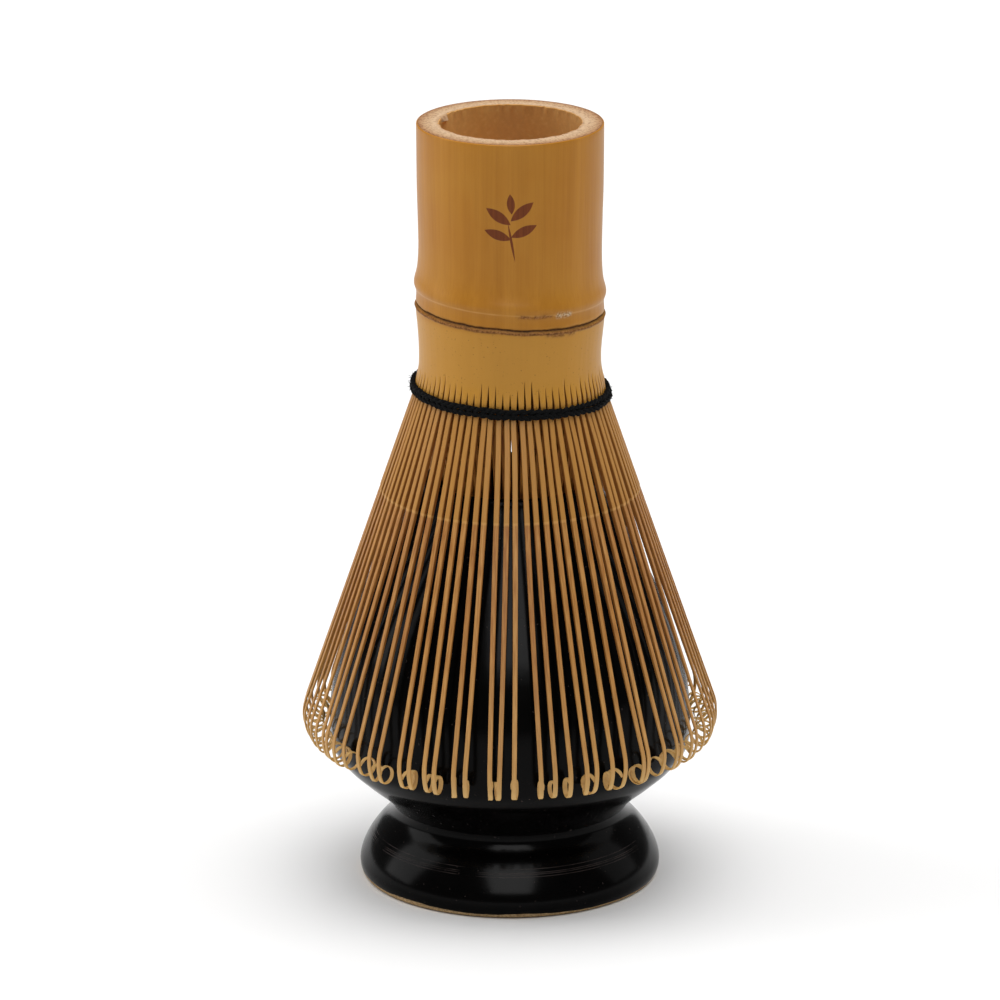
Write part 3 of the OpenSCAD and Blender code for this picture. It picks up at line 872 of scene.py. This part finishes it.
def tines_of_a_split():
    """Tree that copies one tine side by side round the axis, and gives each copy a small
    sway, lean and curl of its own, because no two are cut or curled quite alike."""
    tree = bpy.data.node_groups.new("tines_of_a_split", "GeometryNodeTree")
    keys = tree_inputs(tree, [
        ("Tine", "Object"), ("Count", "Int"), ("First angle", "Float"), ("Pitch", "Float"),
        ("Fan", "Float"), ("Push", "Float"), ("Swirl", "Float"), ("Sway", "Float"),
        ("Lean", "Float"), ("Drop", "Float"), ("Curl size", "Float"), ("Curl turn", "Float"),
        ("Curl twist", "Float"), ("Curl start", "Vector"), ("Seed", "Int"),
        ("Face", "Material"), ("Side", "Material")])
    given = add(tree, "NodeGroupInput").node.outputs
    points = add(tree, "GeometryNodePoints", None, {"Count": given["Count"]})
    one = add(tree, "GeometryNodeObjectInfo", None, {"Object": given["Tine"]}, out="Geometry")
    copies = add(tree, "GeometryNodeInstanceOnPoints", None, {"Points": points, "Instance": one})
    number = add(tree, "GeometryNodeInputIndex")
    told = add(tree, "GeometryNodeStoreNamedAttribute", {"data_type": "INT", "domain": "INSTANCE"},
               {"Geometry": copies, "Name": "tine", "Value": number})
    real = add(tree, "GeometryNodeRealizeInstances", None, {"Geometry": told})
    tine, along, curl, free, split = (
        add(tree, "GeometryNodeInputNamedAttribute", {"data_type": kind}, {"Name": name})
        for name, kind in (("tine", "INT"), ("along", "FLOAT"), ("curl", "FLOAT"),
                           ("free", "FLOAT"), ("split", "BOOLEAN")))
    chance = []
    for step, lowest in enumerate((-1.0, -1.0, 0.0, -1.0, -1.0, -1.0, -1.0, 0.0)):
        seed = add(tree, "ShaderNodeMath", None, {0: given["Seed"], 1: float(step)})
        chance.append(add(tree, "FunctionNodeRandomValue", {"data_type": "FLOAT"},
                          {2: lowest, 3: 1.0, 7: tine, 8: seed}, out=1))
    fan, sway, lean, size, turn, twist, push = (
        add(tree, "ShaderNodeMath", {"operation": "MULTIPLY"}, {0: part, 1: given[name]})
        for part, name in zip(chance, ("Fan", "Sway", "Lean", "Curl size", "Curl turn",
                                        "Curl twist", "Push")))
    place = add(tree, "GeometryNodeInputPosition")
    rolled = add(tree, "ShaderNodeVectorRotate", {"rotation_type": "Y_AXIS"},
                 {"Vector": place, "Center": given["Curl start"], "Angle": turn})
    twisted = add(tree, "ShaderNodeVectorRotate", {"rotation_type": "Z_AXIS"},
                  {"Vector": rolled, "Center": given["Curl start"], "Angle": twist})
    reach = add(tree, "ShaderNodeVectorMath", {"operation": "SUBTRACT"},
                {0: twisted, 1: given["Curl start"]})
    grown = add(tree, "ShaderNodeVectorMath", {"operation": "SCALE"}, {0: reach, "Scale": size})
    wound = add(tree, "ShaderNodeVectorMath", {"operation": "ADD"}, {0: twisted, 1: grown})
    curled = add(tree, "ShaderNodeMix", {"data_type": "VECTOR"},
                 {0: curl, 4: place, 5: wound}, out=1)
    square = add(tree, "ShaderNodeMath", {"operation": "MULTIPLY"}, {0: along, 1: along})
    sunk = add(tree, "ShaderNodeMath", {"operation": "MULTIPLY"}, {0: given["Drop"], 1: -1.0})
    drift = add(tree, "ShaderNodeCombineXYZ", None, {"X": lean, "Y": sway, "Z": sunk})
    moved = add(tree, "ShaderNodeVectorMath", {"operation": "SCALE"}, {0: drift, "Scale": square})
    bowed = add(tree, "ShaderNodeVectorMath", {"operation": "ADD"}, {0: curled, 1: moved})
    aside = add(tree, "ShaderNodeMath", None, {0: push, 1: given["Swirl"]})
    aside = add(tree, "ShaderNodeMath", {"operation": "MULTIPLY"}, {0: aside, 1: free})
    pushed = add(tree, "ShaderNodeCombineXYZ", None, {"Y": aside})
    bowed = add(tree, "ShaderNodeVectorMath", {"operation": "ADD"}, {0: bowed, 1: pushed})
    seat = add(tree, "ShaderNodeMath", None, {0: tine, 1: 0.5})
    spread = add(tree, "ShaderNodeMath", {"operation": "MULTIPLY_ADD"},
                 {0: seat, 1: given["Pitch"], 2: given["First angle"]})
    angle = add(tree, "ShaderNodeMath", None, {0: spread, 1: fan})
    turned = add(tree, "ShaderNodeVectorRotate", {"rotation_type": "Z_AXIS"},
                 {"Vector": bowed, "Angle": angle})
    fanned = add(tree, "GeometryNodeSetPosition", None, {"Geometry": real, "Position": turned})
    shaded = add(tree, "GeometryNodeStoreNamedAttribute", {"data_type": "FLOAT", "domain": "POINT"},
                 {"Geometry": fanned, "Name": "shade", "Value": chance[7]})
    faced = add(tree, "GeometryNodeSetMaterial", None,
                {"Geometry": shaded, "Material": given["Face"]})
    sided = add(tree, "GeometryNodeSetMaterial", None,
                {"Geometry": faced, "Selection": split, "Material": given["Side"]})
    add(tree, "NodeGroupOutput", None, {"Geometry": sided})
    return tree, keys


def made_piece(name, tree, keys, values):
    """A plain mesh piece from a geometry tree with these inputs."""
    piece = bpy.data.objects.new(name, bpy.data.meshes.new(name + "_seed"))
    bpy.context.scene.collection.objects.link(piece)
    modifier = piece.modifiers.new("make", "NODES")
    modifier.node_group = tree
    for key, value in values.items():
        modifier[keys[key]] = value
    depsgraph = bpy.context.evaluated_depsgraph_get()
    mesh = bpy.data.meshes.new_from_object(piece.evaluated_get(depsgraph), depsgraph=depsgraph)
    piece.modifiers.clear()
    piece.data = mesh
    mesh.name = name
    return piece


TINE_TREE, TINE_KEYS = tines_of_a_split()
OUTER_STATIONS = outer_tine_stations()
CURL_START = next(a["place"] for a, b in zip(OUTER_STATIONS, OUTER_STATIONS[1:]) if b["curl"] > 0)
outer_tine = single_tine("outer_tine", OUTER_STATIONS, 0.09)
inner_tine = single_tine("inner_tine", inner_tine_stations(), 0.05)
LOOSE = {"outer": {"Fan": 0.01, "Push": 0.25 * MM, "Swirl": 0.0, "Sway": 1.3 * MM, "Lean": 0.3 * MM,
                   "Curl size": 0.1, "Curl turn": 0.12, "Curl twist": 0.3},
         "inner": {"Fan": 0.008, "Push": 0.25 * MM, "Swirl": 0.45 * MM, "Sway": 0.5 * MM}}
MADE_OF = {"outer": {"Tine": outer_tine, "Face": SHAVED, "Side": SPLIT_FACE},
           "inner": {"Tine": inner_tine, "Face": INNER_SHAVED, "Side": INNER_SHAVED}}
FIRST_SEED = {"outer": 14, "inner": 75}
for split_number in range(1, SPLITS + 1):
    first_angle = (split_number - 1) * TINES_PER_SPLIT * PITCH
    # the tines at the front are a little longer than the rest
    ahead = max(-math.sin(first_angle + TINES_PER_SPLIT * PITCH / 2), 0.0)
    for kind in ("outer", "inner"):
        cut = made_piece(
            f"{kind}_tines_cut_{split_number:02d}", TINE_TREE, TINE_KEYS,
            {"Count": TINES_PER_SPLIT, "First angle": first_angle, "Pitch": PITCH,
             "Curl start": (CURL_START[0] * MM, 0, CURL_START[1] * MM),
             "Drop": 1.1 * MM * ahead ** 2 if kind == "outer" else 0.0,
             "Seed": FIRST_SEED[kind] + 10 * split_number, **MADE_OF[kind], **LOOSE[kind]})
        body = f"{kind}_tines_{split_number:02d}"
        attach(cut, body)
        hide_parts(body)
for pattern in (outer_tine, inner_tine):
    bpy.data.objects.remove(pattern)


# ---------------------------------------------------------------- thread
def tube(path, radii, sides, closed):
    """A tube along a path in millimetres, with a radius at each point: its points and faces."""
    points, faces, rings = [], [], []
    count = len(path)
    for i in range(count):
        before = Vector(path[i - 1 if closed or i > 0 else 0])
        after = Vector(path[(i + 1) % count if closed else min(i + 1, count - 1)])
        forward = (after - before).normalized()
        out = Vector((path[i][0], path[i][1], 0)).normalized()
        if abs(out.dot(forward)) > 0.8:
            out = Vector((0, 0, 1))
        side = forward.cross(out).normalized()
        out = side.cross(forward)
        rings.append(range(len(points), len(points) + sides))
        for k in range(sides):
            turn = 2 * math.pi * k / sides
            points.append(tuple(Vector(path[i]) + radii[i] * (math.cos(turn) * out
                                                              + math.sin(turn) * side)))
    for i in range(count if closed else count - 1):
        faces += band(rings[i], rings[(i + 1) % count])
    if not closed:
        faces += [tuple(rings[0])[::-1], tuple(rings[-1])]
    return points, faces


def thread_heart(angle, level):
    """Middle of a round of thread at an angle. It sits a little askew, dips into the slits
    between the teeth and rides out where the tines spread."""
    z = THREAD_MID - THREAD_DROP + level - THREAD_TILT * math.cos(angle)
    z += 0.16 * wander(math.cos(angle) * 6, math.sin(angle) * 6, 2.0 + level)
    dip = 0.09 * math.cos(angle * TEETH)
    dip += 0.08 * wander(math.cos(angle) * 14, math.sin(angle) * 14, level)
    r = max(ROUND_R, OUTER_ROOT_R + (OUTER_ROOT_Z - z) * math.tan(OUTER_SPREAD) + THREAD_CLEAR)
    return r - dip, z


def make_thread():
    """Two rounds of thread outside the teeth, each of two plies twisted together, and one round
    inside, with a pass between them through one slit in each split."""
    points, faces = [], []

    def keep(part):
        """Adds a tube to the thread."""
        start = len(points)
        points.extend(part[0])
        faces.extend(tuple(k + start for k in corners) for corners in part[1])

    steps = TEETH * STEPS_PER_TOOTH
    for level in (-ROUND_PITCH / 2, ROUND_PITCH / 2):
        for ply in (0, math.pi):
            path, radii = [], []
            for k in range(steps):
                angle = 2 * math.pi * k / steps
                r, z = thread_heart(angle, level)
                twist = ply + angle * TEETH / 2 * (1 if level > 0 else -1)
                twist += 0.9 * wander(math.cos(angle) * 9, math.sin(angle) * 9, level)
                r += 0.2 * math.cos(twist)
                path.append((r * math.cos(angle), r * math.sin(angle), z + 0.21 * math.sin(twist)))
                slack = wander(math.cos(angle) * 17, math.sin(angle) * 17, ply + level)
                radii.append(THREAD_R * (0.6 + 0.16 * slack))
            keep(tube(path, radii, 8, True))
    inner = [(INNER_ROUND_R * math.cos(a), INNER_ROUND_R * math.sin(a), THREAD_MID)
             for a in np.arange(INNER_STEPS) * 2 * math.pi / INNER_STEPS]
    keep(tube(inner, [INNER_THREAD_R] * len(inner), 8, True))
    for split in range(SPLITS):
        angle = split * TINES_PER_SPLIT * PITCH
        r, z = thread_heart(angle, 0)
        ends = ((r, z), (r - 0.6, z), (INNER_ROUND_R + 0.3, THREAD_MID),
                (INNER_ROUND_R, THREAD_MID))
        keep(tube([(a * math.cos(angle), a * math.sin(angle), b) for a, b in ends],
                  [0.12] * len(ends), 6, False))
    return mesh_object("thread_core", points, faces, [COTTON], None, 60)


def loose_fibre():
    """One loose fibre of the thread, bent, pointing along Z, twice as thick as a real one so
    that it shows."""
    path = [(0, 0, 0), (0.02, 0.01, 0.2), (0.1, 0.02, 0.38), (0.22, 0.0, 0.5)]
    points, faces = tube(path, [0.024, 0.022, 0.018, 0.01], 3, False)
    return mesh_object("loose_fibre", points, faces, [COTTON])


def thread_with_fuzz():
    """Tree that scatters loose fibres over the thread."""
    tree = bpy.data.node_groups.new("thread_with_fuzz", "GeometryNodeTree")
    keys = tree_inputs(tree, [("Thread", "Object"), ("Fibre", "Object"), ("Fibres per m2", "Float"),
                              ("Seed", "Int"), ("Cotton", "Material")])
    given = add(tree, "NodeGroupInput").node.outputs
    core = add(tree, "GeometryNodeObjectInfo", None, {"Object": given["Thread"]}, out="Geometry")
    one = add(tree, "GeometryNodeObjectInfo", None, {"Object": given["Fibre"]}, out="Geometry")
    spots = add(tree, "GeometryNodeDistributePointsOnFaces", None,
                {"Mesh": core, "Density": given["Fibres per m2"], "Seed": given["Seed"]})
    stand = spots.node.outputs["Rotation"]
    size = add(tree, "FunctionNodeRandomValue", {"data_type": "FLOAT"},
               {2: 0.5, 3: 1.3, 8: given["Seed"]}, out=1)
    lean = add(tree, "FunctionNodeRandomValue", {"data_type": "FLOAT_VECTOR"},
               {0: (-1.2, -1.2, -3.1), 1: (1.2, 1.2, 3.1), 8: given["Seed"]}, out=0)
    tilted = add(tree, "FunctionNodeRotateRotation", {"rotation_space": "LOCAL"},
                 {"Rotation": stand, "Rotate By": lean})
    fibres = add(tree, "GeometryNodeInstanceOnPoints", None,
                 {"Points": spots, "Instance": one, "Rotation": tilted, "Scale": size})
    real = add(tree, "GeometryNodeRealizeInstances", None, {"Geometry": fibres})
    whole = add(tree, "GeometryNodeJoinGeometry", None, {0: core})
    tree.links.new(real, whole.node.inputs[0])
    faced = add(tree, "GeometryNodeSetMaterial", None,
                {"Geometry": whole, "Material": given["Cotton"]})
    add(tree, "NodeGroupOutput", None, {"Geometry": faced})
    return tree, keys


thread_core = make_thread()
fibre = loose_fibre()
FUZZ_TREE, FUZZ_KEYS = thread_with_fuzz()
thread = made_piece("thread_rounds", FUZZ_TREE, FUZZ_KEYS,
                    {"Thread": thread_core, "Fibre": fibre, "Fibres per m2": 2.2e6, "Seed": 3,
                     "Cotton": COTTON})
for pattern in (thread_core, fibre):
    bpy.data.objects.remove(pattern)
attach(thread, "handle")
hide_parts("binding_thread")


# ---------------------------------------------------------------- holder
def holder_side(inset):
    """The holder's side view from its foot to under the lip, moved in by the wall."""
    # the foot's edge is rounded off in four short steps
    line = [(FOOT_R - 1.1, 0.0), (FOOT_R - 0.62, 0.24), (FOOT_R - 0.275, FOOT_Z / 3),
            (FOOT_R - 0.07, 1.4)]
    for t in np.arange(24) / 24:
        line.append((WAIST_R + (FOOT_R - WAIST_R) * (1 - t ** FOOT_SWELL) ** FOOT_ROUND,
                     FOOT_Z + (WAIST_Z - FOOT_Z) * t))
    for t in np.arange(28) / 28:
        swell = math.sin(math.pi / 2 * t ** UNDER_RISE) ** UNDER_ROUND
        line.append((WAIST_R + (BELLY_R - WAIST_R) * swell,
                     WAIST_Z + (BELLY_LOW_Z - WAIST_Z) * t))
    shoulder_steps = 34
    top = HOLDER_TOP - LIP_R
    for k in range(shoulder_steps + 1):
        t = k / shoulder_steps
        line.append((RIM_R + (BELLY_R - RIM_R) * math.cos(math.pi / 2 * t),
                     BELLY_Z + (top - BELLY_Z) * t))
    return [(r - inset, z) for r, z in line]


def eased_waist(line):
    """The outside line with its crease at the waist filled and rounded by the glaze."""
    radii, heights = np.array(line).T
    out = []
    for r, z in line:
        nearby = float(np.mean(np.interp(z + np.linspace(-1.9, 1.9, 9), heights, radii)))
        out.append((r + (nearby - r) * hump(z - WAIST_Z, WAIST_EASED), z))
    return out


def make_holder():
    """The holder, thrown on a wheel and dipped in glaze: hollow from its open foot to its
    mouth, with a rounded lip and the faint rings that fingers leave."""
    outside = [(r + 0.03 * math.sin(z * 2.3) * fade(z, 12, 20), z)
               for r, z in eased_waist(holder_side(0))]
    lip_middle = (RIM_R + MOUTH_R) / 2
    lip = [(lip_middle + LIP_R * math.cos(math.radians(a)),
            HOLDER_TOP - LIP_R + LIP_R * math.sin(math.radians(a))) for a in range(15, 180, 15)]
    inside = [(max(r, MOUTH_R) if z > BELLY_Z else r, z) for r, z in holder_side(HOLDER_WALL)][::-1]
    side = outside + lip + [(r + 0.04 * math.sin(z * 1.9), z) for r, z in inside]
    points, faces, rings = [], [], []
    for r, z in side:
        rings.append(range(len(points), len(points) + HOLDER_AROUND))
        for k in range(HOLDER_AROUND):
            angle = 2 * math.pi * k / HOLDER_AROUND
            soft = 0.06 * wander(math.cos(angle), math.sin(angle), z * 0.05) * fade(z, 4, 20)
            soft *= 1 - fade(z, HOLDER_TOP - 12, HOLDER_TOP)
            points.append(((r + soft) * math.cos(angle), (r + soft) * math.sin(angle), z))
    for low, high in zip(rings, rings[1:] + rings[:1]):
        faces += band(low, high)
    return mesh_object("glazed_holder", points, faces, [GLAZE], None, 50)


holder = make_holder()
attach(holder, "holder")
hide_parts("holder")


# ---------------------------------------------------------------- studio
MIDDLE = (0, 0, 0.065)


def soft_panel(name, size, place, power, lights=True, mirrored=True):
    """A soft lamp of that size in metres, turned towards the middle of the object. lights says
    whether it lights matt surfaces, and mirrored whether it shows in glossy ones."""
    lamp = bpy.data.lights.new(name, "AREA")
    lamp.shape = "RECTANGLE"
    lamp.size, lamp.size_y = size
    lamp.energy = power
    lamp_stand = bpy.data.objects.new(name, lamp)
    lamp_stand.location = place
    lamp_stand.rotation_euler = (Vector(MIDDLE) - Vector(place)).to_track_quat("-Z", "Y").to_euler()
    lamp_stand.visible_diffuse = lights
    lamp_stand.visible_glossy = mirrored
    bpy.context.scene.collection.objects.link(lamp_stand)


FLOOR_HALF = 5000
floor = mesh_object("studio_floor", [(-FLOOR_HALF, -FLOOR_HALF, 0), (FLOOR_HALF, -FLOOR_HALF, 0),
                                     (FLOOR_HALF, FLOOR_HALF, 0), (-FLOOR_HALF, FLOOR_HALF, 0)],
                    [(0, 1, 2, 3)], [PAPER])

world = bpy.data.worlds.new("studio")
world.use_nodes = True
world.node_tree.nodes.clear()
sky = add(world.node_tree, "ShaderNodeBackground", None, {"Color": grey(1.0), "Strength": 0.13})
add(world.node_tree, "ShaderNodeOutputWorld", None, {"Surface": sky})
bpy.context.scene.world = world

soft_panel("top_panel", (3.7, 3.7), (0.11, 0.1, 2.4), 110, mirrored=False)
soft_panel("left_panel", (0.9, 1.4), (-1.5, 0.15, 0.8), 10.5)
soft_panel("right_panel", (0.9, 1.4), (1.5, 0.25, 0.8), 3)
soft_panel("front_window", (0.9, 1.75), (0.02, -0.96, 1.22), 25, lights=False)

# ---------------------------------------------------------------- camera
CAMERA_AIM = Vector((-1.65 * MM, 0, 64.5 * MM))
CAMERA_DISTANCE = 1237.5 * MM
CAMERA_ELEVATION = math.radians(17.2)
camera_data = bpy.data.cameras.new("camera")
camera_data.lens = 270
camera_data.sensor_width = 36
camera_data.clip_end = 50
camera = bpy.data.objects.new("camera", camera_data)
camera.location = CAMERA_AIM + CAMERA_DISTANCE * Vector(
    (0, -math.cos(CAMERA_ELEVATION), math.sin(CAMERA_ELEVATION)))
camera.rotation_euler = (math.radians(90) - CAMERA_ELEVATION, 0, 0)
bpy.context.scene.collection.objects.link(camera)
bpy.context.scene.camera = camera
bpy.context.scene.view_settings.view_transform = "Standard"
